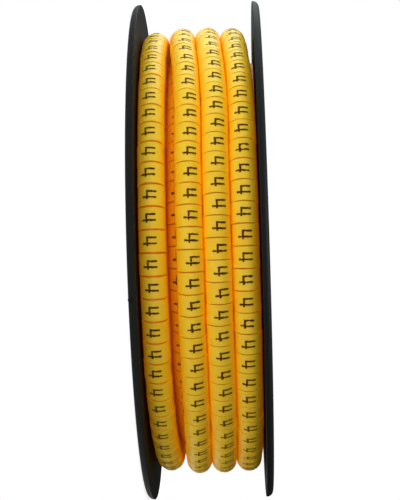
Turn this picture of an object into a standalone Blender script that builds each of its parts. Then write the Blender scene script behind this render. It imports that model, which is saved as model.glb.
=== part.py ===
"""A reel of cable markers: two moulded reel halves and the marker strip wound between their flanges.

The reel stands on its lower flange. Its axis is +Z and its origin is the centre of the lower flange's outer
face. The strip is one soft tube, cut nearly through into short sleeves. Its outer layer makes four turns,
which lie parallel round the front and step across by one tube at the back.
"""

import math

import bmesh
import bpy

MM = 0.001
DEG = math.radians(1)

# Reel
FLANGE_RADIUS = 62.5 * MM
FLANGE_THICKNESS = 1.7 * MM
RIM_ROUNDING = 1.5 * MM
RIM_CHAMFER = 0.12 * MM
BARREL_RADIUS = 33.5 * MM
BARREL_WALL = 2.0 * MM
BARREL_FILLET = 0.8 * MM
SPINDLE_RADIUS = 8.0 * MM
SPINDLE_WALL = 2.0 * MM
WEB_THICKNESS = 1.6 * MM
RIB_COUNT = 6
RIB_THICKNESS = 1.4 * MM
RIB_SETBACK = 2.5 * MM
PEG_COUNT = 3
PEG_RADIUS = 2.5 * MM
PEG_CIRCLE_RADIUS = 21.0 * MM
PEG_PROUD = 1.4 * MM
FIT_GAP = 0.3 * MM
LATHE_STEPS = 60
RIM_SPANS = 4
FILLET_SPANS = 2
PEG_SIDES = 20
TOOL_OVERLAP = 0.5 * MM

# Marker strip
TUBE_DIAMETER = 6.17 * MM
TUBE_BORE = 3.2 * MM
BORE_DEPTH = 2.0 * MM
WINDING_DEPTH = 22.7 * MM
TURN_DROPS = (0.8 * MM, 0.0, 0.0, 0.25 * MM)
SIDE_CLEARANCE = 0.4 * MM
SPARE_WIDTH = 2.12 * MM
SLEEVES_PER_TURN = 70
CUT_WIDTH = 0.45 * MM
CUT_DEPTH = 1.1 * MM
ARC_SPANS = 5
CHANNEL_RELIEF = 0.12 * MM
CHANNEL_DIP = 1.6 * MM
RAMP_ANGLE = 24 * DEG
RAMP_START = 0.08
CROSSING_HALF_ANGLE = 35 * DEG
TURN_PHASES = (0.35 * DEG, 0.0, -2.3 * DEG, -0.5 * DEG)

# How far each turn stands over to the right, as a share of the spare width, against the angle from the front
PUSH_FIRST_TURN = ((-145 * DEG, 0.0), (30 * DEG, 0.0), (85 * DEG, 0.33), (145 * DEG, 0.33))
PUSH_OTHER_TURNS = ((-145 * DEG, 0.0), (-85 * DEG, 0.2), (-35 * DEG, 1.0), (45 * DEG, 1.0),
                    (85 * DEG, 0.75), (145 * DEG, 0.5))

# Worked out
TURNS = len(TURN_DROPS)
WINDING_WIDTH = TURNS * TUBE_DIAMETER + SPARE_WIDTH + 2 * SIDE_CLEARANCE
WINDING_RADIUS = BARREL_RADIUS + WINDING_DEPTH
TOTAL_WIDTH = WINDING_WIDTH + 2 * FLANGE_THICKNESS
MIDDLE = TOTAL_WIDTH / 2
HALF_HEIGHT = MIDDLE - FIT_GAP / 2
BARREL_INNER_RADIUS = BARREL_RADIUS - BARREL_WALL
SPINDLE_TUBE_RADIUS = SPINDLE_RADIUS + SPINDLE_WALL
TUBE_RADIUS = TUBE_DIAMETER / 2
LEDGE_RADIUS = WINDING_RADIUS - TUBE_DIAMETER + CHANNEL_RELIEF
CORE_INNER_RADIUS = BARREL_RADIUS + FIT_GAP
CORE_LOW = FLANGE_THICKNESS + FIT_GAP
CORE_HIGH = TOTAL_WIDTH - CORE_LOW
RINGS_PER_SLEEVE = 3
RINGS_PER_TURN = RINGS_PER_SLEEVE * SLEEVES_PER_TURN
SLEEVE_ANGLE = 2 * math.pi / SLEEVES_PER_TURN
START_ANGLE = CROSSING_HALF_ANGLE - math.pi
LAYER_ANGLE = TURNS * 2 * math.pi - 2 * CROSSING_HALF_ANGLE
SLEEVES = round(LAYER_ANGLE / SLEEVE_ANGLE)
LAST_RING = RINGS_PER_SLEEVE * SLEEVES - 2


def clear_scene():
    for obj in list(bpy.data.objects):
        bpy.data.objects.remove(obj, do_unlink=True)


def plastic(name, colour, roughness, subsurface=0.0):
    material = bpy.data.materials.new(name)
    material.use_nodes = True
    shader = material.node_tree.nodes["Principled BSDF"]
    shader.inputs["Base Color"].default_value = (*colour, 1.0)
    shader.inputs["Roughness"].default_value = roughness
    shader.inputs["Subsurface Weight"].default_value = subsurface
    return material


def object_from(name, bm, material=None):
    """A smooth-shaded object with sharp edges kept, from a bmesh that this frees."""
    mesh = bpy.data.meshes.new(name)
    bm.to_mesh(mesh)
    bm.free()
    mesh.shade_smooth()
    mesh.set_sharp_from_angle(angle=40 * DEG)
    obj = bpy.data.objects.new(name, mesh)
    bpy.context.scene.collection.objects.link(obj)
    if material:
        obj.data.materials.append(material)
    return obj


def combine(target, tool, operation):
    """Joins the tool to the target, or cuts it away, in the target's own frame."""
    tool.parent = target
    tool.hide_render = True
    tool.display_type = "WIRE"
    modifier = target.modifiers.new(tool.name, "BOOLEAN")
    modifier.operation = operation
    modifier.solver = "EXACT"
    modifier.object = tool


def turned(bm, profile, steps):
    """Spins a closed profile of (radius, height) points all the way round Z."""
    verts = [bm.verts.new((radius, 0.0, height)) for radius, height in profile]
    edges = [bm.edges.new((verts[i - 1], verts[i])) for i in range(len(verts))]
    bmesh.ops.spin(bm, geom=verts + edges, cent=(0, 0, 0), axis=(0, 0, 1), angle=2 * math.pi,
                   steps=steps, use_merge=True, use_duplicate=False)
    bmesh.ops.recalc_face_normals(bm, faces=bm.faces[:])


def arc(centre, radius, start, end, spans):
    """Points of (radius, height) on a quarter or other arc, both ends included."""
    angles = [start + (end - start) * i / spans for i in range(spans + 1)]
    return [(centre[0] + radius * math.cos(a), centre[1] + radius * math.sin(a)) for a in angles]


# Reel

def half_profile():
    """The section of one reel half: outer face down, mating face up."""
    web_underside = HALF_HEIGHT - WEB_THICKNESS
    rim = arc((FLANGE_RADIUS - RIM_ROUNDING, RIM_ROUNDING), RIM_ROUNDING, -90 * DEG, 0.0, RIM_SPANS)
    fillet = arc((BARREL_RADIUS + BARREL_FILLET, FLANGE_THICKNESS + BARREL_FILLET), BARREL_FILLET,
                 -90 * DEG, -180 * DEG, FILLET_SPANS)
    return [
        (BARREL_INNER_RADIUS, 0.0),
        *rim,
        (FLANGE_RADIUS, FLANGE_THICKNESS - RIM_CHAMFER),
        (FLANGE_RADIUS - RIM_CHAMFER, FLANGE_THICKNESS),
        *fillet,
        (BARREL_RADIUS, HALF_HEIGHT),
        (SPINDLE_RADIUS, HALF_HEIGHT),
        (SPINDLE_RADIUS, 0.0),
        (SPINDLE_TUBE_RADIUS, 0.0),
        (SPINDLE_TUBE_RADIUS, web_underside),
        (BARREL_INNER_RADIUS, web_underside),
    ]


def add_block(bm, angle, near, far, thickness, low, high):
    """A radial block from one radius to another, standing at an angle round the axis."""
    made = bmesh.ops.create_cube(bm, size=1.0)["verts"]
    bmesh.ops.scale(bm, vec=(far - near, thickness, high - low), verts=made)
    bmesh.ops.translate(bm, vec=((near + far) / 2, 0.0, (low + high) / 2), verts=made)
    turn_about_axis(bm, made, angle)


def add_post(bm, angle, circle, radius, low, high):
    """A round post standing on a circle about the axis."""
    made = bmesh.ops.create_cone(bm, cap_ends=True, segments=PEG_SIDES, radius1=radius, radius2=radius,
                                 depth=high - low)["verts"]
    bmesh.ops.translate(bm, vec=(circle, 0.0, (low + high) / 2), verts=made)
    turn_about_axis(bm, made, angle)


def turn_about_axis(bm, verts, angle):
    cos, sin = math.cos(angle), math.sin(angle)
    for vert in verts:
        x, y, z = vert.co
        vert.co = (x * cos - y * sin, x * sin + y * cos, z)


def add_ribs(half):
    bm = bmesh.new()
    for i in range(RIB_COUNT):
        add_block(bm, (i + 0.5) * 2 * math.pi / RIB_COUNT, SPINDLE_TUBE_RADIUS - TOOL_OVERLAP,
                  BARREL_INNER_RADIUS + TOOL_OVERLAP, RIB_THICKNESS, RIB_SETBACK,
                  HALF_HEIGHT - WEB_THICKNESS + TOOL_OVERLAP)
    combine(half, object_from(half.name + "_ribs_tool", bm), "UNION")


def add_pegs(half):
    bm = bmesh.new()
    for i in range(PEG_COUNT):
        add_post(bm, i * 2 * math.pi / PEG_COUNT, PEG_CIRCLE_RADIUS, PEG_RADIUS,
                 HALF_HEIGHT - TOOL_OVERLAP, HALF_HEIGHT + FIT_GAP + WEB_THICKNESS + PEG_PROUD)
    combine(half, object_from(half.name + "_pegs_tool", bm), "UNION")


def cut_sockets(half):
    bm = bmesh.new()
    for i in range(PEG_COUNT):
        add_post(bm, i * 2 * math.pi / PEG_COUNT, PEG_CIRCLE_RADIUS, PEG_RADIUS + FIT_GAP,
                 HALF_HEIGHT - WEB_THICKNESS - TOOL_OVERLAP, HALF_HEIGHT + TOOL_OVERLAP)
    combine(half, object_from(half.name + "_sockets_tool", bm), "DIFFERENCE")


def reel_half(name, material):
    bm = bmesh.new()
    turned(bm, half_profile(), LATHE_STEPS)
    half = object_from(name, bm, material)
    add_ribs(half)
    return half


def make_reel():
    black = plastic("black_plastic", (0.014, 0.015, 0.015), 0.5)
    lower = reel_half("reel_half_lower", black)
    add_pegs(lower)
    upper = reel_half("reel_half_upper", black.copy())
    cut_sockets(upper)
    upper.location.z = TOTAL_WIDTH
    upper.rotation_euler.x = math.pi


# Path of the strip

def smooth(x):
    x = min(max(x, 0.0), 1.0)
    return x * x * (3 - 2 * x)


def eased(keys, angle):
    """The value at an angle, eased between the keys and held past the first and the last."""
    for (a, low), (b, high) in zip(keys, keys[1:]):
        if angle <= b:
            return low + (high - low) * smooth((angle - a) / (b - a))
    return keys[-1][1]


def turn_at(angle):
    """Which turn the strip is in: a whole number round the front, rising by one across the back."""
    turn = math.floor((angle + math.pi) / (2 * math.pi))
    turn = min(max(turn, 0), TURNS - 1)
    offset = angle - turn * 2 * math.pi
    if offset > math.pi - CROSSING_HALF_ANGLE:
        return turn + smooth((offset - math.pi + CROSSING_HALF_ANGLE) / (2 * CROSSING_HALF_ANGLE))
    if offset < CROSSING_HALF_ANGLE - math.pi:
        return turn - 1 + smooth((offset + math.pi + CROSSING_HALF_ANGLE) / (2 * CROSSING_HALF_ANGLE))
    return float(turn)


def per_turn(values, position):
    """A value that each turn has, blended where the strip crosses from one turn to the next."""
    position = min(max(position, 0.0), len(values) - 1.0)
    low = int(min(position, len(values) - 2))
    return values[low] + (values[low + 1] - values[low]) * (position - low)


def turn_height(turn, offset):
    """The height of a turn's centre, at an angle from the front."""
    push = eased(PUSH_OTHER_TURNS if turn else PUSH_FIRST_TURN, offset)
    low = FLANGE_THICKNESS + SIDE_CLEARANCE + TUBE_RADIUS
    return low + turn * TUBE_DIAMETER + push * SPARE_WIDTH


def strip_height(angle):
    position = turn_at(angle)
    heights = [turn_height(turn, angle - turn * 2 * math.pi) for turn in range(TURNS)]
    return per_turn(heights, position)


def strip_rise(angle):
    """How far the strip has come up out of the layer below, from nearly 0 at its start to 1."""
    return RAMP_START + (1 - RAMP_START) * smooth((angle - START_ANGLE) / RAMP_ANGLE)


def strip_middle_radius(angle):
    full = WINDING_RADIUS - TUBE_RADIUS - per_turn(TURN_DROPS, turn_at(angle))
    return LEDGE_RADIUS + (full - LEDGE_RADIUS) * strip_rise(angle)


def ring_angle(ring):
    """Each sleeve has a ring at its start and one at its end, with one between sleeves at the cut's bottom."""
    sleeve, kind = divmod(ring, RINGS_PER_SLEEVE)
    half_cut = CUT_WIDTH / WINDING_RADIUS / 2
    within = (half_cut, SLEEVE_ANGLE - half_cut, SLEEVE_ANGLE)[kind]
    angle = START_ANGLE + sleeve * SLEEVE_ANGLE + within
    return angle + per_turn(TURN_PHASES, turn_at(angle))


def is_cut(ring):
    return ring % RINGS_PER_SLEEVE == 2


def place(angle, radius, height):
    """A point by its angle from the front, which is -Y, towards +X."""
    return (radius * math.sin(angle), -radius * math.cos(angle), height)


# Marker strip

def ring_points(ring):
    """The strip's outer half at a ring, as (angle, radius, height) from its lower side to its upper side."""
    angle = ring_angle(ring)
    middle = strip_middle_radius(angle)
    height = strip_height(angle)
    rise = strip_rise(angle)
    points = []
    for i in range(ARC_SPANS + 1):
        round_angle = math.pi * (1 - i / ARC_SPANS)
        inside = 0 < i < ARC_SPANS
        radius = TUBE_RADIUS - (CUT_DEPTH * rise if is_cut(ring) and inside else 0.0)
        points.append((angle, middle + radius * rise * math.sin(round_angle),
                       height + radius * math.cos(round_angle)))
    return points


def midpoint(a, b):
    """Halfway between a point and one that lies a whole turn further on."""
    return ((a[0] + b[0]) / 2 - math.pi, (a[1] + b[1]) / 2, (a[2] + b[2]) / 2)


class StripMesh:
    """The winding as one closed surface: sleeves outside, a plain core inside, and walls that join them."""

    def __init__(self):
        self.bm = bmesh.new()
        self.rings = [ring_points(ring) for ring in range(LAST_RING + 1)]
        self.surface = [[None] * (ARC_SPANS + 1) for _ in self.rings]

    def vert(self, point):
        return self.bm.verts.new(place(*point))

    def face(self, *verts):
        self.bm.faces.new(verts)

    def zip_rows(self, fine, coarse):
        """Fills between a row with a point at every ring and one with a point at every sleeve."""
        for i, ring in enumerate(range(0, len(fine) - 1, RINGS_PER_SLEEVE)):
            ends = fine[ring:ring + RINGS_PER_SLEEVE + 1]
            for a, b in zip(ends, ends[1:]):
                self.face(a, b, coarse[i])
            if ends[-1] is not coarse[i + 1]:
                self.face(ends[-1], coarse[i + 1], coarse[i])

    def outer_surface(self):
        for ring, points in enumerate(self.rings):
            row = self.surface[ring]
            for i in range(1, ARC_SPANS):
                row[i] = self.vert(points[i])
            if ring < RINGS_PER_TURN:
                row[0] = self.vert(points[0])
                low_neighbour = None
            else:
                low_neighbour = self.surface[ring - RINGS_PER_TURN]
            if low_neighbour and ring - RINGS_PER_TURN < RINGS_PER_TURN:
                angle, radius, height = points[0]
                row[0] = self.vert((angle, radius, height + CHANNEL_RELIEF))
            elif low_neighbour:
                row[0] = low_neighbour[ARC_SPANS]
            row[ARC_SPANS] = self.upper_side(ring)
        for a, b in zip(self.surface, self.surface[1:]):
            for i in range(ARC_SPANS):
                self.face(a[i], b[i], b[i + 1], a[i + 1])

    def upper_side(self, ring):
        """The side towards the next turn: shared with it, or a channel's edge beside the first turn."""
        point = self.rings[ring][ARC_SPANS]
        if ring < RINGS_PER_TURN:
            return self.vert((point[0], point[1], point[2] - CHANNEL_RELIEF))
        if ring + RINGS_PER_TURN <= LAST_RING:
            return self.vert(midpoint(point, self.rings[ring + RINGS_PER_TURN][0]))
        return self.vert(point)

    def foot(self, ring, side, drop=0.0):
        """The point below a side of the strip, on top of the layer underneath."""
        co = self.surface[ring][side].co
        angle = math.atan2(co.x, -co.y)
        return self.vert((angle, LEDGE_RADIUS - drop, co.z))

    def build(self):
        self.outer_surface()
        low_core = self.low_side()
        high_core = self.high_side()
        self.inner_face(low_core, high_core)
        bmesh.ops.recalc_face_normals(self.bm, faces=self.bm.faces[:])
        return self.bm

    def low_side(self):
        turn = RINGS_PER_TURN
        coarse = range(0, turn + 1, RINGS_PER_SLEEVE)
        feet = [self.foot(ring, 0) for ring in coarse]
        self.zip_rows([self.surface[ring][0] for ring in range(turn + 1)], feet)
        channel_foot = self.channel(feet[-1])
        self.face(*self.surface[0], channel_foot, feet[0])
        angles = [ring_angle(ring) for ring in coarse][:-1]
        wall = [self.vert((angle, LEDGE_RADIUS, CORE_LOW)) for angle in angles]
        inner = [self.vert((angle, CORE_INNER_RADIUS, CORE_LOW)) for angle in angles]
        for i in range(len(wall) - 1):
            self.face(feet[i], feet[i + 1], wall[i + 1], wall[i])
        self.face(feet[-2], feet[-1], channel_foot, feet[0], wall[0], wall[-1])
        for i in range(len(wall)):
            self.face(wall[i - 1], wall[i], inner[i], inner[i - 1])
        return inner

    def channel(self, last_foot):
        """The gap between the first turn and the second, down to the layer underneath."""
        turn = RINGS_PER_TURN
        coarse = range(0, turn, RINGS_PER_SLEEVE)
        near = []
        far = []
        for ring in coarse:
            gap = self.surface[ring + turn][0].co.z - self.surface[ring][ARC_SPANS].co.z
            near.append(self.foot(ring, ARC_SPANS, CHANNEL_DIP * smooth(gap / SPARE_WIDTH - 0.15)))
            far.append(self.foot(ring + turn, 0) if ring else last_foot)
        low_edge = [self.surface[ring][ARC_SPANS] for ring in range(turn)]
        high_edge = [self.surface[ring + turn][0] for ring in range(turn)]
        closing = self.surface[turn][ARC_SPANS]
        self.zip_rows(low_edge + [closing], near + [closing])
        self.zip_rows(high_edge + [closing], far + [closing])
        for i in range(len(near) - 1):
            self.face(near[i], near[i + 1], far[i + 1], far[i])
        self.face(near[-1], closing, far[-1])
        return near[0]

    def high_side(self):
        first = LAST_RING - RINGS_PER_TURN
        coarse = range(first, LAST_RING + 1, RINGS_PER_SLEEVE)
        feet = [self.foot(ring, ARC_SPANS) for ring in coarse]
        self.zip_rows([self.surface[ring][ARC_SPANS] for ring in range(first, LAST_RING + 1)], feet)
        self.face(*self.surface[LAST_RING], feet[-1], feet[0])
        angles = [ring_angle(ring) for ring in coarse][:-1]
        wall = [self.vert((angle, LEDGE_RADIUS, CORE_HIGH)) for angle in angles]
        inner = [self.vert((angle, CORE_INNER_RADIUS, CORE_HIGH)) for angle in angles]
        for i in range(len(wall) - 1):
            self.face(feet[i], feet[i + 1], wall[i + 1], wall[i])
        self.face(feet[-2], feet[-1], feet[0], wall[0], wall[-1])
        for i in range(len(wall)):
            self.face(wall[i - 1], wall[i], inner[i], inner[i - 1])
        return inner

    def inner_face(self, low, high):
        """The bore of the winding, joined where the two rows of points lie nearest to each other."""
        nearest = min(range(len(high)), key=lambda i: (high[i].co - low[0].co).length)
        high = high[nearest:] + high[:nearest]
        for i in range(len(low)):
            self.face(low[i - 1], low[i], high[i], high[i - 1])


def cut_bore(strip):
    """The open bore at the strip's free end."""
    angle = ring_angle(LAST_RING)
    bm = bmesh.new()
    made = bmesh.ops.create_cone(bm, cap_ends=True, segments=16, radius1=TUBE_BORE / 2,
                                 radius2=TUBE_BORE / 2, depth=2 * BORE_DEPTH)["verts"]
    for vert in made:
        across, up, along = vert.co
        vert.co = (along, -strip_middle_radius(angle) - up, strip_height(angle) + across)
    turn_about_axis(bm, made, angle)
    combine(strip, object_from("strip_bore_tool", bm), "DIFFERENCE")


def make_strip():
    yellow = plastic("yellow_soft_plastic", (0.86, 0.5, 0.03), 0.42, 0.1)
    bm = StripMesh().build()
    bmesh.ops.triangulate(bm, faces=[face for face in bm.faces if len(face.verts) > 4])
    cut_bore(object_from("marker_strip", bm, yellow))


clear_scene()
make_reel()
make_strip()
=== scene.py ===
"""Looks of a reel of cable marker sleeves: a black moulded reel and the yellow strip wound on it.

The reel stands on its lower flange with its axis along +Z. The strip's path is worked out as in the part:
four turns that lie parallel round the front, which is -Y, and step across by one tube at the back.
"""

import math
import random

import bmesh
import bpy
from mathutils import Matrix, Vector


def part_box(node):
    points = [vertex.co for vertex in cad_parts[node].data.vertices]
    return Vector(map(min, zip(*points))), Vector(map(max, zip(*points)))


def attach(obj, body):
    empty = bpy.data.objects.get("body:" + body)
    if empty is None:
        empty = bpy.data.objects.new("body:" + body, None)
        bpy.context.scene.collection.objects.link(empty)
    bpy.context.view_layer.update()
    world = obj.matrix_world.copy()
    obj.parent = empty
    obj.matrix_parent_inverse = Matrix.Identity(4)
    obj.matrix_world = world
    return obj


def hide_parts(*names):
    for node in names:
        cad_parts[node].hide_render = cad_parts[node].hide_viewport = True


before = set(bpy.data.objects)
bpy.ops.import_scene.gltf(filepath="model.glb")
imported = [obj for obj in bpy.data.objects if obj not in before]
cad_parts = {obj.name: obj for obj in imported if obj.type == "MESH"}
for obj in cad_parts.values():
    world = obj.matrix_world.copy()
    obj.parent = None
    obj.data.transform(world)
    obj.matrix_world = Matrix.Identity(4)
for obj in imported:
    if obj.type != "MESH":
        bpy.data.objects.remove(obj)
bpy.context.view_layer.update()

MM = 0.001
DEG = math.radians(1)
# Places that lie this near each other count as the same
NEAR = 0.01 * MM

# Reel
FLANGE_THICKNESS = 1.7 * MM
RIM_ROUNDING = 1.5 * MM
RIM_CHAMFER = 0.12 * MM
BARREL_RADIUS = 33.5 * MM
BARREL_WALL = 2.0 * MM
BARREL_FILLET = 0.8 * MM
SPINDLE_RADIUS = 8.0 * MM
SPINDLE_WALL = 2.0 * MM
SPINDLE_CHAMFER = 0.5 * MM
RECESS_ROUNDING = 0.4 * MM
WEB_THICKNESS = 1.6 * MM
RIB_COUNT = 6
RIB_THICKNESS = 1.4 * MM
RIB_SETBACK = 2.5 * MM
RIB_ROUNDING = 0.35 * MM
PEG_COUNT = 3
PEG_RADIUS = 2.5 * MM
PEG_CIRCLE_RADIUS = 21.0 * MM
PEG_PROUD = 1.4 * MM
PEG_CHAMFER = 0.4 * MM
SOCKET_CHAMFER = 0.01 * MM
FIT_GAP = 0.3 * MM
TOOL_OVERLAP = 0.5 * MM
REEL_SIDES = 160
PEG_SIDES = 32
GATE_MARK_ANGLE = 9.4 * DEG
GATE_MARK_SIZE = (1.1 * MM, 1.3 * MM, 0.9 * MM)

# Strip
TUBE_DIAMETER = 6.17 * MM
TUBE_BORE = 3.2 * MM
BORE_DEPTH = 2.0 * MM
WINDING_DEPTH = 22.7 * MM
# How far each turn lies below the winding's full radius
TURN_DROPS = (0.8 * MM, 0.0, 0.0, 0.25 * MM)
SIDE_CLEARANCE = 0.4 * MM
SPARE_WIDTH = 2.12 * MM
CHANNEL_RELIEF = 0.12 * MM
RAMP_ANGLE = 24 * DEG
RAMP_START = 0.08
CROSSING_HALF_ANGLE = 35 * DEG
# How far a turn is pushed across at an angle round the reel, as a share of the spare width
PUSH_FIRST_TURN = ((-145 * DEG, 0.0), (30 * DEG, 0.0), (85 * DEG, 0.33), (145 * DEG, 0.33))
PUSH_OTHER_TURNS = ((-145 * DEG, 0.0), (-85 * DEG, 0.2), (-35 * DEG, 1.0), (45 * DEG, 1.0),
                    (85 * DEG, 0.75), (145 * DEG, 0.5))

# Sleeves
SLEEVE_LENGTH = 4.72 * MM
SLEEVE_CHAMFER = 0.06 * MM
TUBE_SIDES = 20
# The angle of one sleeve's middle at the front of each turn, the pitch there, and how many lie between
FRONT_ANGLES = (-2.45 * DEG, -2.85 * DEG, -0.3 * DEG, 1.8 * DEG)
PITCHES = (5.39 * DEG, 5.14 * DEG, 5.07 * DEG, 5.14 * DEG)
SLEEVES_BETWEEN = (68, 71, 71)
STRIP_END_ANGLE = 145 * DEG
NECK_RADIUS = 2.72 * MM
NECK_STEPS_PER_TURN = 120
NECK_SIDES = 12
# How unevenly the sleeves sit: across the tube's path, out from it, swung on it and nodding
SHIFT_ACROSS = 0.04 * MM
SHIFT_OUT = 0.03 * MM
SLEEVE_SWING = 0.5 * DEG
SLEEVE_NOD = 0.3 * DEG
UNEVENNESS_SEED = 7

# Layer below, wound the other way
# How far each turn lies from the middle of the reel's width
LOWER_TURNS = (9.8 * MM, 2.5 * MM, -4.05 * MM, -10.3 * MM)
LOWER_START_ANGLE = -190 * DEG
LOWER_END_ANGLE = (3 * 360 + 170) * DEG
LOWER_SLEEVES_PER_TURN = 62
LOWER_PRINT_ROLL = -12 * DEG
LOWER_PRINT_TWIST = 26 * DEG
INNER_WINDING_SIDES = 120

# Print, a plain figure 4 of three straight strokes
FIGURE_HEIGHT = 3.2 * MM
FIGURE_WIDTH = 2.1 * MM
STROKE_WIDTH = 0.42 * MM
CROSSBAR_HEIGHT = 1.1 * MM
CROSSBAR_STUB = 0.35 * MM
STROKE_STEP = 0.4 * MM
PRINT_VARIANTS = 12
PRINT_ROUGHNESS = 0.055 * MM
PRINT_WEAR = (0.8, 1.0, 1.6)
PRINT_THICKNESS = 0.02 * MM
PRINT_LIFT = 0.012 * MM
# How far round the tube the print lies on each turn, and how unevenly it was stamped
PRINT_ROLLS = (-9 * DEG, 11 * DEG, 12 * DEG, -3 * DEG)
PRINT_ROLL_SPREAD = 1.6 * DEG
PRINT_SWING = 1.3 * DEG

# Worked out
FLANGE_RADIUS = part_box("reel_half_lower")[1].x
TURNS = len(TURN_DROPS)
WINDING_WIDTH = TURNS * TUBE_DIAMETER + SPARE_WIDTH + 2 * SIDE_CLEARANCE
WINDING_RADIUS = BARREL_RADIUS + WINDING_DEPTH
TOTAL_WIDTH = WINDING_WIDTH + 2 * FLANGE_THICKNESS
MIDDLE = TOTAL_WIDTH / 2
HALF_HEIGHT = MIDDLE - FIT_GAP / 2
BARREL_INNER_RADIUS = BARREL_RADIUS - BARREL_WALL
SPINDLE_TUBE_RADIUS = SPINDLE_RADIUS + SPINDLE_WALL
TUBE_RADIUS = TUBE_DIAMETER / 2
LEDGE_RADIUS = WINDING_RADIUS - TUBE_DIAMETER + CHANNEL_RELIEF
START_ANGLE = CROSSING_HALF_ANGLE - math.pi
LOWER_MIDDLE_RADIUS = LEDGE_RADIUS - TUBE_RADIUS
LOWER_SPAN = LOWER_END_ANGLE - LOWER_START_ANGLE

# Stage, a small pale floor that runs out into a surround of the same white
FLOOR_RADIUS = 100 * MM
FLOOR_SIDES = 96

# Camera, at the photograph's viewing angle
CAMERA_PLACE = Vector((0.0, -393.65, 24.47)) * MM
CAMERA_RIGHT = Vector((0.02989, 0.02570, 0.99922))
CAMERA_UP = Vector((-0.99955, 0.00041, 0.02989))
LENS = 110.95
SENSOR = 36.0

# Light: the surround's side that it comes from, and the soft boxes
SURROUND_SIDE = (-0.94, 0.35, 0.0)
SURROUND_FOCUS = 8.0
SURROUND_LOW = 0.05
SURROUND_HIGH = 4.3
FRONT = (0.0, -0.03, 0.015)
BACK = (0.0, 0.03, 0.015)
# Name, place, what it aims at, width, height, and power in watts
SOFT_BOXES = (("key_light", (-0.42, -0.62, 0.08), FRONT, 0.45, 0.45, 1.7),
              ("fill_light", (0.18, -0.75, 0.10), FRONT, 0.5, 0.4, 2.2),
              ("back_light", (-0.55, 0.50, 0.20), BACK, 0.5, 0.4, 1.0),
              ("overhead_light", (0.0, 0.0, 0.7), (0.0, 0.0, 0.0), 0.2, 0.2, 5.5))


# Picking and shaping

def deselect():
    bpy.ops.object.select_all(action="DESELECT")


def activate(obj):
    deselect()
    obj.select_set(True)
    bpy.context.view_layer.objects.active = obj


def added(name):
    """The primitive that was just added, with its place in its mesh."""
    obj = bpy.context.object
    obj.name = name
    bpy.ops.object.transform_apply(location=True, rotation=True, scale=True)
    return obj


def pick(obj, kind, test):
    """In edit mode, selects only the faces or the edges that pass a test on their middle point."""
    bpy.ops.mesh.select_all(action="DESELECT")
    bpy.ops.mesh.select_mode(type="FACE" if kind == "faces" else "EDGE")
    bm = bmesh.from_edit_mesh(obj.data)
    for item in getattr(bm, kind):
        middle = sum((v.co for v in item.verts), Vector()) / len(item.verts)
        item.select_set(test(item, middle))
    bm.select_flush_mode()
    bmesh.update_edit_mesh(obj.data)


def pick_disc(obj, height):
    """Selects the flat round face about the axis at a height."""
    pick(obj, "faces", lambda face, middle: abs(middle.z - height) < NEAR
         and math.hypot(middle.x, middle.y) < NEAR)


def pick_loop(obj, radius, height):
    """Selects the circle of edges at a radius and a height."""
    def on_circle(edge, middle):
        return (all(abs(v.co.z - height) < 2 * NEAR for v in edge.verts)
                and all(abs(math.hypot(v.co.x, v.co.y) - radius) < 5 * NEAR for v in edge.verts))
    pick(obj, "edges", on_circle)


def lift(height):
    bpy.ops.mesh.extrude_region_move(TRANSFORM_OT_translate={"value": (0.0, 0.0, height)})


def apply_boolean(target, tool, operation):
    modifier = target.modifiers.new(tool.name, "BOOLEAN")
    modifier.operation = operation
    modifier.solver = "EXACT"
    modifier.object = tool
    activate(target)
    bpy.ops.object.modifier_apply(modifier=modifier.name)
    bpy.data.objects.remove(tool)


def joined(name, objects):
    deselect()
    for obj in objects:
        obj.select_set(True)
    bpy.context.view_layer.objects.active = objects[0]
    if len(objects) > 1:
        bpy.ops.object.join()
    objects[0].name = name
    return objects[0]


def smooth_shaded(obj, angle=35 * DEG):
    activate(obj)
    bpy.ops.object.shade_smooth_by_angle(angle=angle)
    return obj


# Materials

class Wire:
    """A socket in a material. Arithmetic on it adds Math nodes."""

    def __init__(self, finish, socket):
        self.finish = finish
        self.socket = socket

    def maths(self, operation, first, second):
        return self.finish.node("ShaderNodeMath", {"operation": operation}, {0: first, 1: second})

    def __add__(self, other):
        return self.maths("ADD", self, other)

    def __radd__(self, other):
        return self.maths("ADD", other, self)

    def __sub__(self, other):
        return self.maths("SUBTRACT", self, other)

    def __rsub__(self, other):
        return self.maths("SUBTRACT", other, self)

    def __mul__(self, other):
        return self.maths("MULTIPLY", self, other)

    def __rmul__(self, other):
        return self.maths("MULTIPLY", other, self)

    def __pow__(self, other):
        return self.maths("POWER", self, other)

    def __abs__(self):
        return self.maths("ABSOLUTE", self, 0.0)

    def above(self, low, high):
        """0 below one value and 1 above another, smooth between."""
        return self.finish.node("ShaderNodeMapRange", {"interpolation_type": "SMOOTHSTEP"},
                                {"Value": self, "From Min": low, "From Max": high})


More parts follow.
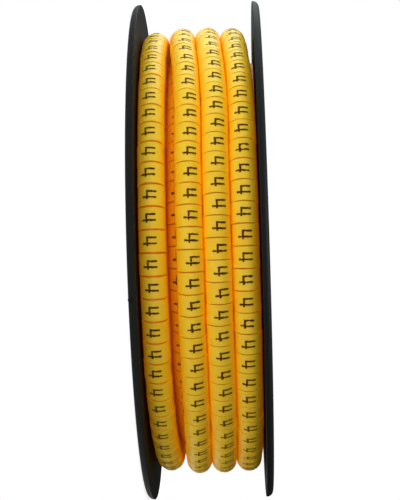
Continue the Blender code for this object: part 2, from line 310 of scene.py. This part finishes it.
class Finish:
    """A node tree with a Principled shader or, for a world, its Background."""

    def __init__(self, owner, shader):
        owner.use_nodes = True
        self.owner = owner
        self.tree = owner.node_tree
        self.shader = self.tree.nodes[shader]

    def node(self, kind, settings=None, sockets=None, output=0):
        node = self.tree.nodes.new(kind)
        for name, value in (settings or {}).items():
            setattr(node, name, value)
        for name, value in (sockets or {}).items():
            self.feed(node.inputs[name], value)
        return Wire(self, node.outputs[output])

    def feed(self, socket, value):
        if isinstance(value, Wire):
            self.tree.links.new(value.socket, socket)
        else:
            socket.default_value = value

    def set(self, **sockets):
        for name, value in sockets.items():
            self.feed(self.shader.inputs[name.replace("_", " ")], value)

    def noise(self, scale, detail=3.0, roughness=0.55):
        place = self.node("ShaderNodeTexCoord", output="Object")
        return self.node("ShaderNodeTexNoise", {}, {"Vector": place, "Scale": scale, "Detail": detail,
                                                    "Roughness": roughness})

    def off_middle(self):
        """The distance from the middle of the reel's width."""
        place = self.node("ShaderNodeTexCoord", output="Object")
        height = self.node("ShaderNodeSeparateXYZ", {}, {0: place}, output=2)
        return abs(height - MIDDLE)

    def attribute(self, name):
        return self.node("ShaderNodeAttribute", {"attribute_name": name}, output="Fac")

    def mix(self, factor, first, second):
        return self.node("ShaderNodeMix", {"data_type": "RGBA"}, {0: factor, 6: first, 7: second}, output=2)

    def bump(self, height, strength, distance):
        return self.node("ShaderNodeBump", {}, {"Height": height, "Strength": strength,
                                                "Distance": distance})


def colour(red, green, blue):
    return (red, green, blue, 1.0)


# The black plastic in its darker and its paler clouds, and where it is scuffed
BLACK_SHADES = (colour(0.0068, 0.0077, 0.0075), colour(0.0094, 0.0105, 0.0102))
SCUFF_SHADE = colour(0.020, 0.021, 0.020)
# The yellow plastic at the side of a tube, at its crest, and at the crest of its palest sleeves. The side
# colour is painted light: more orange than the crest, for light carried through the plastic and between the
# tubes
UPPER_SHADES = (colour(0.92, 0.42, 0.001), colour(0.70, 0.42, 0.012), colour(0.72, 0.48, 0.028))
# The same plastic for the layer below, the neck and the inner winding, made darker and redder as painted
# shade
LOWER_PAINTED_SHADES = (colour(0.82, 0.21, 0.0), colour(0.86, 0.33, 0.002), colour(0.86, 0.38, 0.005))
# Painted glow, an emission for the light that comes through the side of a tube: none through its crest, and
# more beside a flange
SIDE_GLOW = colour(0.42, 0.16, 0.0)
CREST_GLOW = colour(0.0, 0.0, 0.0)
FLANGE_GLOW = colour(1.0, 0.15, 0.0)
UPPER_GLOW = 0.13
LOWER_GLOW = 0.035
# How far from the middle of the width the painted glow beside a flange begins, and is full
FLANGE_GLOW_BOUNDS = (11.8 * MM, 13.6 * MM)
# The ink, and where it is worn
INK_SHADE = colour(0.052, 0.017, 0.001)
WORN_INK_SHADE = colour(0.45, 0.22, 0.01)
INK_SHEEN = colour(1.0, 0.5, 0.05)
FLOOR_SHADES = (colour(0.27, 0.27, 0.27), colour(0.30, 0.30, 0.30))
WHITE = colour(1.0, 1.0, 1.0)
SURROUND_TINT = colour(0.72, 1.0, 1.0)


def new_finish(name):
    return Finish(bpy.data.materials.new(name), "Principled BSDF")


def black_plastic():
    finish = new_finish("black_moulded_plastic")
    clouds = finish.noise(scale=60.0, detail=4.0)
    grain = finish.noise(scale=2600.0, detail=2.0)
    scuffs = finish.noise(scale=420.0, detail=5.0, roughness=0.7).above(0.6, 0.78)
    tone = finish.mix(clouds, *BLACK_SHADES)
    finish.set(Base_Color=finish.mix(scuffs * 0.35, tone, SCUFF_SHADE),
               Roughness=0.50 + 0.12 * clouds + 0.06 * scuffs,
               Normal=finish.bump(grain + 0.5 * clouds, strength=0.12, distance=0.2 * MM))
    finish.set(Specular_IOR_Level=0.038)
    return finish.owner


def yellow_plastic(name, shades, glow):
    """Soft plastic, painted paler on the crest of the tube and more orange down its sides: painted light for
    the light that comes through the plastic, with a painted glow.
    """
    side, top, pale = shades
    finish = new_finish(name)
    crest = finish.attribute("crest").above(0.33, 1.0)
    # Where the painted glow beside a flange lies, on the sides of the tube only
    painted_flange_glow = (1 - crest) * finish.off_middle().above(*FLANGE_GLOW_BOUNDS)
    tone = finish.attribute("tone")
    mottle = finish.noise(scale=900.0, detail=3.0)
    cloud = finish.noise(scale=120.0, detail=2.0)
    # Painted light: the colour goes from orange on the sides of the tube to yellow on its crest
    body = finish.mix(crest, side, top)
    body = finish.mix(0.55 * tone + 0.35 * cloud, body, finish.mix(crest, body, pale))
    finish.set(Base_Color=body,
               Roughness=0.38 + 0.14 * mottle,
               Normal=finish.bump(mottle + 0.4 * cloud, strength=0.10, distance=0.2 * MM))
    # Painted glow: the plastic gives off orange light at the sides of the tube, and more beside a flange
    through = finish.mix(crest, SIDE_GLOW, CREST_GLOW)
    finish.set(Emission_Color=finish.mix(painted_flange_glow, through, FLANGE_GLOW))
    finish.set(Subsurface_Weight=0.4, Subsurface_Scale=1.5 * MM, Specular_IOR_Level=0.16)
    finish.set(Subsurface_Radius=(1.0, 0.4, 0.1), Emission_Strength=glow)
    return finish.owner


def ink():
    finish = new_finish("print_ink")
    specks = finish.noise(scale=3800.0, detail=3.0, roughness=0.7)
    worn = specks.above(0.60, 0.70)
    finish.set(Base_Color=finish.mix(worn * 0.5, INK_SHADE, WORN_INK_SHADE),
               Roughness=0.6 + 0.2 * specks,
               Normal=finish.bump(specks, strength=0.2, distance=0.1 * MM))
    finish.set(Specular_IOR_Level=0.04, Sheen_Weight=0.8, Sheen_Roughness=0.45)
    finish.set(Sheen_Tint=INK_SHEEN)
    return finish.owner


def floor_finish():
    finish = new_finish("pale_floor")
    cloud = finish.noise(scale=8.0, detail=3.0)
    finish.set(Base_Color=finish.mix(cloud, *FLOOR_SHADES))
    finish.set(Roughness=0.8, Specular_IOR_Level=0.1, Emission_Strength=0.85)
    finish.set(Emission_Color=WHITE)
    return finish.owner


# Reel

def half_body(name):
    """One reel half, outer face down.

    The barrel is drawn up from the flange disc, and the recess pushed in round the spindle tube.
    """
    deselect()
    bpy.ops.mesh.primitive_cylinder_add(vertices=REEL_SIDES, radius=FLANGE_RADIUS, depth=FLANGE_THICKNESS,
                                        location=(0.0, 0.0, FLANGE_THICKNESS / 2))
    half = added(name)
    web_underside = HALF_HEIGHT - WEB_THICKNESS
    bpy.ops.object.mode_set(mode="EDIT")
    pick_disc(half, FLANGE_THICKNESS)
    bpy.ops.mesh.inset(thickness=FLANGE_RADIUS - BARREL_RADIUS)
    lift(HALF_HEIGHT - FLANGE_THICKNESS)
    bpy.ops.mesh.inset(thickness=BARREL_RADIUS - SPINDLE_RADIUS)
    bpy.ops.mesh.delete(type="ONLY_FACE")
    pick_disc(half, 0.0)
    bpy.ops.mesh.inset(thickness=FLANGE_RADIUS - BARREL_INNER_RADIUS)
    lift(web_underside)
    bpy.ops.mesh.inset(thickness=BARREL_INNER_RADIUS - SPINDLE_TUBE_RADIUS)
    lift(-web_underside)
    bpy.ops.mesh.inset(thickness=SPINDLE_WALL)
    bpy.ops.mesh.delete(type="ONLY_FACE")
    pick(half, "edges", lambda edge, middle: edge.is_boundary)
    bpy.ops.mesh.bridge_edge_loops()
    for radius, height, width, segments in (
            (FLANGE_RADIUS, 0.0, RIM_ROUNDING, 6),
            (FLANGE_RADIUS, FLANGE_THICKNESS, RIM_CHAMFER, 1),
            (BARREL_RADIUS, FLANGE_THICKNESS, BARREL_FILLET, 3),
            (BARREL_INNER_RADIUS, 0.0, RECESS_ROUNDING, 3),
            (SPINDLE_TUBE_RADIUS, 0.0, RECESS_ROUNDING, 2),
            (SPINDLE_RADIUS, 0.0, SPINDLE_CHAMFER, 1),
            (BARREL_INNER_RADIUS, web_underside, RECESS_ROUNDING, 3),
            (SPINDLE_TUBE_RADIUS, web_underside, RECESS_ROUNDING, 3)):
        pick_loop(half, radius, height)
        bpy.ops.mesh.bevel(offset=width, segments=segments, affect="EDGES")
    bpy.ops.mesh.select_all(action="SELECT")
    bpy.ops.mesh.normals_make_consistent(inside=False)
    bpy.ops.object.mode_set(mode="OBJECT")
    return half


def rounded_rib(angle):
    """A radial rib whose free edge is rounded."""
    near = SPINDLE_TUBE_RADIUS - TOOL_OVERLAP
    far = BARREL_INNER_RADIUS + TOOL_OVERLAP
    top = HALF_HEIGHT - WEB_THICKNESS + TOOL_OVERLAP
    deselect()
    bpy.ops.mesh.primitive_cube_add(size=1.0)
    rib = added("rib")
    rib.data.transform(Matrix.Diagonal((far - near, RIB_THICKNESS, top - RIB_SETBACK, 1.0)))
    rib.data.transform(Matrix.Translation(((near + far) / 2, 0.0, (top + RIB_SETBACK) / 2)))
    bpy.ops.object.mode_set(mode="EDIT")
    pick(rib, "edges", lambda edge, middle: abs(middle.z - RIB_SETBACK) < NEAR and abs(middle.y) > NEAR)
    bpy.ops.mesh.bevel(offset=RIB_ROUNDING, segments=3, affect="EDGES")
    bpy.ops.object.mode_set(mode="OBJECT")
    rib.data.transform(Matrix.Rotation(angle, 4, "Z"))
    return rib


def round_posts(name, radius, low, high, chamfer):
    """Posts on the peg circle, for the pegs of one half and the sockets of the other."""
    posts = []
    for i in range(PEG_COUNT):
        deselect()
        bpy.ops.mesh.primitive_cylinder_add(vertices=PEG_SIDES, radius=radius, depth=high - low,
                                            location=(PEG_CIRCLE_RADIUS, 0.0, (low + high) / 2))
        post = added("post")
        bpy.ops.object.mode_set(mode="EDIT")
        pick(post, "edges", lambda edge, middle: all(abs(v.co.z - high) < NEAR for v in edge.verts))
        bpy.ops.mesh.bevel(offset=chamfer, segments=1, affect="EDGES")
        bpy.ops.object.mode_set(mode="OBJECT")
        post.data.transform(Matrix.Rotation(i * 2 * math.pi / PEG_COUNT, 4, "Z"))
        posts.append(post)
    return joined(name, posts)


def gate_mark():
    """The small moulding mark that stands proud of the lower flange's rim."""
    deselect()
    bpy.ops.mesh.primitive_uv_sphere_add(segments=16, ring_count=10, radius=0.5)
    mark = added("gate_mark")
    mark.data.transform(Matrix.Diagonal((*GATE_MARK_SIZE, 1.0)))
    mark.data.transform(Matrix.Translation((0.0, -FLANGE_RADIUS, GATE_MARK_SIZE[2] / 2)))
    mark.data.transform(Matrix.Rotation(GATE_MARK_ANGLE, 4, "Z"))
    return mark


def reel_half(name, finish):
    half = half_body(name)
    ribs = [rounded_rib((i + 0.5) * 2 * math.pi / RIB_COUNT) for i in range(RIB_COUNT)]
    apply_boolean(half, joined("ribs", ribs), "UNION")
    half.data.materials.clear()
    half.data.materials.append(finish)
    return half


def make_reel():
    finish = black_plastic()
    lower = reel_half("lower_reel_half", finish)
    pegs = round_posts("pegs", PEG_RADIUS, HALF_HEIGHT - TOOL_OVERLAP,
                       HALF_HEIGHT + FIT_GAP + WEB_THICKNESS + PEG_PROUD, PEG_CHAMFER)
    apply_boolean(lower, pegs, "UNION")
    apply_boolean(lower, gate_mark(), "UNION")
    upper = reel_half("upper_reel_half", finish)
    sockets = round_posts("sockets", PEG_RADIUS + FIT_GAP, HALF_HEIGHT - WEB_THICKNESS - TOOL_OVERLAP,
                          HALF_HEIGHT + TOOL_OVERLAP, SOCKET_CHAMFER)
    apply_boolean(upper, sockets, "DIFFERENCE")
    upper.data.transform(Matrix.Translation((0.0, 0.0, TOTAL_WIDTH)) @ Matrix.Rotation(math.pi, 4, "X"))
    for half, node in ((lower, "reel_half_lower"), (upper, "reel_half_upper")):
        smooth_shaded(half)
        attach(half, "root")
        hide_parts(node)


# Path of the strip

def smooth(x):
    x = min(max(x, 0.0), 1.0)
    return x * x * (3 - 2 * x)


def eased(keys, angle):
    """The value at an angle, eased between the keys and held past the first and the last."""
    for (a, low), (b, high) in zip(keys, keys[1:]):
        if angle <= b:
            return low + (high - low) * smooth((angle - a) / (b - a))
    return keys[-1][1]


def turn_at(angle):
    """Which turn the strip is in: a whole number round the front, rising by one across the back."""
    turn = math.floor((angle + math.pi) / (2 * math.pi))
    turn = min(max(turn, 0), TURNS - 1)
    offset = angle - turn * 2 * math.pi
    if offset > math.pi - CROSSING_HALF_ANGLE:
        return turn + smooth((offset - math.pi + CROSSING_HALF_ANGLE) / (2 * CROSSING_HALF_ANGLE))
    if offset < CROSSING_HALF_ANGLE - math.pi:
        return turn - 1 + smooth((offset + math.pi + CROSSING_HALF_ANGLE) / (2 * CROSSING_HALF_ANGLE))
    return float(turn)


def per_turn(values, position):
    """A value that each turn has, blended where the strip crosses from one turn to the next."""
    position = min(max(position, 0.0), len(values) - 1.0)
    low = int(min(position, len(values) - 2))
    return values[low] + (values[low + 1] - values[low]) * (position - low)


def turn_height(turn, offset):
    push = eased(PUSH_OTHER_TURNS if turn else PUSH_FIRST_TURN, offset)
    low = FLANGE_THICKNESS + SIDE_CLEARANCE + TUBE_RADIUS
    return low + turn * TUBE_DIAMETER + push * SPARE_WIDTH


def strip_rise(angle):
    """How far the strip has come up out of the layer below, from nearly 0 at its start to 1."""
    return RAMP_START + (1 - RAMP_START) * smooth((angle - START_ANGLE) / RAMP_ANGLE)


def strip_middle(angle):
    """The middle of the tube, at an angle that grows along the strip."""
    position = turn_at(angle)
    heights = [turn_height(turn, angle - turn * 2 * math.pi) for turn in range(TURNS)]
    full = WINDING_RADIUS - TUBE_RADIUS - per_turn(TURN_DROPS, position)
    start = LEDGE_RADIUS - TUBE_RADIUS
    return place(angle, start + (full - start) * strip_rise(angle), per_turn(heights, position))


def lower_middle(angle):
    """The middle of the tube in the layer below. Both its ends go down out of sight at the back."""
    up = smooth((angle - LOWER_START_ANGLE) / RAMP_ANGLE) * smooth((LOWER_END_ANGLE - angle) / RAMP_ANGLE)
    sunk = TUBE_DIAMETER * (1 - up)
    return place(angle, LOWER_MIDDLE_RADIUS - sunk, MIDDLE + per_turn(LOWER_TURNS, turn_at(angle)))


def place(angle, radius, height):
    """A point by its angle from the front, which is -Y, towards +X."""
    return Vector((radius * math.sin(angle), -radius * math.cos(angle), height))


def along(path, angle):
    """The frame of a tube at an angle: along it, across it towards +Z, and outwards."""
    step = 0.5 * DEG
    ahead = (path(angle + step) - path(angle - step)).normalized()
    across = Vector((0.0, 0.0, 1.0))
    across = (across - ahead * across.dot(ahead)).normalized()
    matrix = Matrix((ahead, across, ahead.cross(across))).transposed().to_4x4()
    return Matrix.Translation(path(angle)) @ matrix


def strip_sleeve_angles():
    """The angle of every sleeve's middle, from the strip's start to its free end."""
    first = [0]
    for count in SLEEVES_BETWEEN:
        first.append(first[-1] + count)
    before = int((FRONT_ANGLES[0] - START_ANGLE) / PITCHES[0])
    after = int((STRIP_END_ANGLE - FRONT_ANGLES[-1]) / PITCHES[-1])
    angles = []
    for sleeve in range(-before, first[-1] + after + 1):
        lines = [FRONT_ANGLES[turn] + turn * 2 * math.pi + PITCHES[turn] * (sleeve - first[turn])
                 for turn in range(TURNS)]
        nearest = min(range(TURNS), key=lambda turn: abs(sleeve - first[turn]))
        angles.append(per_turn(lines, turn_at(lines[nearest])))
    return angles


# Sleeves and print

def sleeve_template(open_end=False):
    """One sleeve lying along X, with its crest up. It holds how near each point is to the crest."""
    deselect()
    bpy.ops.mesh.primitive_cylinder_add(vertices=TUBE_SIDES, radius=TUBE_RADIUS, depth=SLEEVE_LENGTH,
                                        rotation=(0.0, math.pi / 2, 0.0))
    sleeve = added("sleeve")
    bpy.ops.object.mode_set(mode="EDIT")
    pick(sleeve, "edges", lambda edge, middle: abs(edge.verts[0].co.x - edge.verts[1].co.x) < NEAR)
    bpy.ops.mesh.bevel(offset=SLEEVE_CHAMFER, segments=1, affect="EDGES")
    if open_end:
        pick(sleeve, "faces", lambda face, middle: middle.x > SLEEVE_LENGTH / 2 - NEAR)
        bpy.ops.mesh.inset(thickness=TUBE_RADIUS - SLEEVE_CHAMFER - TUBE_BORE / 2)
        bpy.ops.mesh.extrude_region_move(TRANSFORM_OT_translate={"value": (-BORE_DEPTH, 0.0, 0.0)})
    bpy.ops.object.mode_set(mode="OBJECT")
    crest = sleeve.data.attributes.new("crest", "FLOAT", "POINT")
    for i, vert in enumerate(sleeve.data.vertices):
        crest.data[i].value = vert.co.z / TUBE_RADIUS
    return sleeve


def grow(figure, move, test):
    """Draws a stroke of the figure out, in short equal steps, from the edge that passes a test."""
    pick(figure, "edges", test)
    steps = round(Vector(move).length / STROKE_STEP)
    for _ in range(steps):
        bpy.ops.mesh.extrude_region_move(TRANSFORM_OT_translate={"value": [part / steps for part in move]})


def figure_template(draw):
    """A plain figure 4, lying flat, with the slightly broken edge of a stamped print.

    It grows from the square where its post and its crossbar meet.
    """
    side = STROKE_WIDTH / 2 - NEAR
    post_above = FIGURE_HEIGHT - CROSSBAR_HEIGHT - STROKE_WIDTH / 2
    post_below = CROSSBAR_HEIGHT - STROKE_WIDTH / 2
    reach = FIGURE_WIDTH - CROSSBAR_STUB - 2 * STROKE_WIDTH
    deselect()
    bpy.ops.mesh.primitive_plane_add(size=STROKE_WIDTH)
    figure = added("figure")
    bpy.ops.object.mode_set(mode="EDIT")
    grow(figure, (0.0, post_above, 0.0), lambda edge, middle: middle.y > side)
    grow(figure, (0.0, -post_below, 0.0), lambda edge, middle: middle.y < -side)
    grow(figure, (CROSSBAR_STUB, 0.0, 0.0), lambda edge, middle: middle.x > side and abs(middle.y) < NEAR)
    grow(figure, (-reach, 0.0, 0.0), lambda edge, middle: middle.x < -side and abs(middle.y) < NEAR)
    grow(figure, (-STROKE_WIDTH, 0.0, 0.0), lambda edge, middle: middle.x < -side - reach)
    grow(figure, (0.0, post_above, 0.0), lambda edge, middle: middle.x < -side - reach and middle.y > side)
    bpy.ops.object.mode_set(mode="OBJECT")
    right = FIGURE_WIDTH / 2 - CROSSBAR_STUB - STROKE_WIDTH / 2
    figure.data.transform(Matrix.Translation((right, CROSSBAR_HEIGHT - FIGURE_HEIGHT / 2, 0.0)))
    rough = PRINT_ROUGHNESS * draw.choice(PRINT_WEAR)
    for vert in figure.data.vertices:
        vert.co.x += draw.uniform(-1, 1) * rough
        vert.co.y += draw.uniform(-1, 1) * rough
    film = figure.modifiers.new("film", "SOLIDIFY")
    film.thickness = PRINT_THICKNESS
    film.offset = 1.0
    activate(figure)
    bpy.ops.object.modifier_apply(modifier=film.name)
    return figure


def wrapped(point, roll):
    """Takes a point of a flat print round the tube."""
    radius = TUBE_RADIUS + PRINT_LIFT + point.z
    angle = roll + point.y / TUBE_RADIUS
    return Vector((point.x, radius * math.sin(angle), radius * math.cos(angle)))


def copied(template, name, move):
    """A copy of a template with its own mesh, each point taken through a function."""
    mesh = template.data.copy()
    for vert in mesh.vertices:
        vert.co = move(vert.co)
    obj = bpy.data.objects.new(name, mesh)
    bpy.context.scene.collection.objects.link(obj)
    return obj


def print_roll(angle):
    """How far round its tube the print of the top layer lies."""
    return per_turn(PRINT_ROLLS, turn_at(angle))


def lower_print_roll(angle):
    """As for the top layer, but the print of the layer below turns out of sight away from the front."""
    offset = (angle + math.pi) % (2 * math.pi) - math.pi
    return LOWER_PRINT_ROLL + LOWER_PRINT_TWIST * min(offset * offset, 1.0)


def add_sleeves(name, path, angles, roll_at, draw):
    """The sleeves of one layer and the print on them, as two pieces."""
    sleeve = sleeve_template()
    last_sleeve = sleeve_template(open_end=True)
    figures = [figure_template(draw) for _ in range(PRINT_VARIANTS)]
    sleeves = []
    prints = []
    for angle in angles:
        seat = along(path, angle)
        seat = seat @ Matrix.Translation((0.0, draw.gauss(0, SHIFT_ACROSS), draw.gauss(0, SHIFT_OUT)))
        seat = seat @ Matrix.Rotation(draw.gauss(0, SLEEVE_SWING), 4, "Z")
        seat = seat @ Matrix.Rotation(draw.gauss(0, SLEEVE_NOD), 4, "Y")
        template = last_sleeve if angle == angles[-1] else sleeve
        body = copied(template, "sleeve_copy", lambda co: seat @ co)
        tone = body.data.attributes.new("tone", "FLOAT", "POINT")
        value = draw.random()
        tone.data.foreach_set("value", [value] * len(body.data.vertices))
        sleeves.append(body)
        roll = roll_at(angle) + draw.gauss(0, PRINT_ROLL_SPREAD)
        swing = Matrix.Rotation(draw.gauss(0, PRINT_SWING), 4, "Z")
        prints.append(copied(draw.choice(figures), "print_copy",
                             lambda co: seat @ wrapped(swing @ co, roll)))
    for used in (sleeve, last_sleeve, *figures):
        bpy.data.objects.remove(used)
    return joined(name, sleeves), joined(name + "_print", prints)


def neck(name, path, start, end):
    """The uncut inner part of the tube, which holds the sleeves together and closes the view into a cut.

    It is drawn out straight by 1 mm a step, and the ring of each step is then put in its place on the path.
    """
    count = int((end - start) / (2 * math.pi) * NECK_STEPS_PER_TURN)
    deselect()
    bpy.ops.mesh.primitive_circle_add(vertices=NECK_SIDES, radius=NECK_RADIUS, fill_type="NGON",
                                      rotation=(0.0, math.pi / 2, 0.0))
    tube = added(name)
    bpy.ops.object.mode_set(mode="EDIT")
    bpy.ops.mesh.select_all(action="SELECT")
    for _ in range(count):
        bpy.ops.mesh.extrude_region_move(TRANSFORM_OT_translate={"value": (1 * MM, 0.0, 0.0)})
    bpy.ops.object.mode_set(mode="OBJECT")
    seats = [along(path, start + (end - start) * i / count) for i in range(count + 1)]
    for vert in tube.data.vertices:
        step = round(vert.co.x / MM)
        vert.co = seats[step] @ Vector((0.0, vert.co.y, vert.co.z))
    bpy.ops.object.mode_set(mode="EDIT")
    bpy.ops.mesh.select_all(action="SELECT")
    bpy.ops.mesh.normals_make_consistent(inside=False)
    bpy.ops.object.mode_set(mode="OBJECT")
    return tube


def inner_ring():
    """The rest of the winding, which the turns above it hide."""
    low = FLANGE_THICKNESS + FIT_GAP
    high = TOTAL_WIDTH - low
    deselect()
    bpy.ops.mesh.primitive_cylinder_add(vertices=INNER_WINDING_SIDES, radius=LOWER_MIDDLE_RADIUS,
                                        depth=high - low, location=(0.0, 0.0, MIDDLE))
    ring = added("inner_winding")
    bpy.ops.object.mode_set(mode="EDIT")
    for height in (low, high):
        pick_disc(ring, height)
        bpy.ops.mesh.inset(thickness=LOWER_MIDDLE_RADIUS - BARREL_RADIUS - FIT_GAP)
        bpy.ops.mesh.delete(type="ONLY_FACE")
    pick(ring, "edges", lambda edge, middle: edge.is_boundary)
    bpy.ops.mesh.bridge_edge_loops()
    bpy.ops.mesh.select_all(action="SELECT")
    bpy.ops.mesh.normals_make_consistent(inside=False)
    bpy.ops.object.mode_set(mode="OBJECT")
    return ring


def dress(obj, finish, slot, *nodes):
    obj.data.materials.clear()
    obj.data.materials.append(finish)
    smooth_shaded(obj)
    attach(obj, "root")
    if nodes:
        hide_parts(*nodes)


def make_strip():
    draw = random.Random(UNEVENNESS_SEED)
    yellow = yellow_plastic("yellow_sleeve_plastic", UPPER_SHADES, UPPER_GLOW)
    # The same plastic again, darker and redder and with a weaker painted glow, as painted shade for the parts
    # that lie in shade
    shaded_yellow = yellow_plastic("yellow_plastic_painted_shade", LOWER_PAINTED_SHADES, LOWER_GLOW)
    black = ink()
    angles = strip_sleeve_angles()
    sleeves, prints = add_sleeves("strip_sleeves", strip_middle, angles, print_roll, draw)
    dress(sleeves, yellow, "strip", "marker_strip")
    dress(prints, black, "strip")
    tube = neck("strip_neck", strip_middle, angles[0], angles[-1])
    dress(tube, shaded_yellow, "strip")
    count = int(LOWER_SPAN / (2 * math.pi) * LOWER_SLEEVES_PER_TURN)
    angles = [LOWER_START_ANGLE + LOWER_SPAN * i / count for i in range(count + 1)]
    sleeves, prints = add_sleeves("lower_sleeves", lower_middle, angles, lower_print_roll, draw)
    dress(sleeves, shaded_yellow, "strip")
    dress(prints, black, "strip")
    tube = neck("lower_neck", lower_middle, LOWER_START_ANGLE, LOWER_END_ANGLE)
    dress(tube, shaded_yellow, "strip")
    dress(inner_ring(), shaded_yellow, "strip")


# Stage

def make_floor():
    deselect()
    bpy.ops.mesh.primitive_circle_add(vertices=FLOOR_SIDES, radius=FLOOR_RADIUS, fill_type="NGON")
    floor = added("floor")
    floor.data.materials.append(floor_finish())


def make_camera():
    camera = bpy.data.objects.new("camera", bpy.data.cameras.new("camera"))
    bpy.context.scene.collection.objects.link(camera)
    camera.data.lens = LENS
    camera.data.sensor_width = SENSOR
    right = CAMERA_RIGHT.normalized()
    up = (CAMERA_UP - right * CAMERA_UP.dot(right)).normalized()
    turned = Matrix((right, up, right.cross(up))).transposed().to_4x4()
    camera.matrix_world = Matrix.Translation(CAMERA_PLACE) @ turned
    bpy.context.scene.camera = camera


def softbox(name, place_at, aim, width, height, power):
    light = bpy.data.lights.new(name, "AREA")
    light.shape = "RECTANGLE"
    light.size = width
    light.size_y = height
    light.energy = power
    lamp = bpy.data.objects.new(name, light)
    bpy.context.scene.collection.objects.link(lamp)
    away = Vector(place_at) - Vector(aim)
    lamp.matrix_world = Matrix.Translation(place_at) @ away.to_track_quat("Z", "Y").to_matrix().to_4x4()


def make_light():
    """The soft boxes, and a surround that looks white and lights the reel mostly from the -X side."""
    world = bpy.data.worlds.new("studio")
    bpy.context.scene.world = world
    finish = Finish(world, "Background")
    direction = finish.node("ShaderNodeTexCoord", output="Generated")
    toward = finish.node("ShaderNodeVectorMath", {"operation": "DOT_PRODUCT"},
                         {0: direction, 1: SURROUND_SIDE}, output="Value")
    side = (0.5 + 0.5 * toward) ** SURROUND_FOCUS
    seen = finish.node("ShaderNodeLightPath", output="Is Camera Ray")
    finish.set(Strength=seen + (1 - seen) * (SURROUND_LOW + SURROUND_HIGH * side))
    finish.set(Color=finish.mix((1 - seen) * side, WHITE, SURROUND_TINT))
    for box in SOFT_BOXES:
        softbox(*box)
    bpy.context.scene.view_settings.view_transform = "Standard"


make_reel()
make_strip()
make_floor()
make_camera()
make_light()
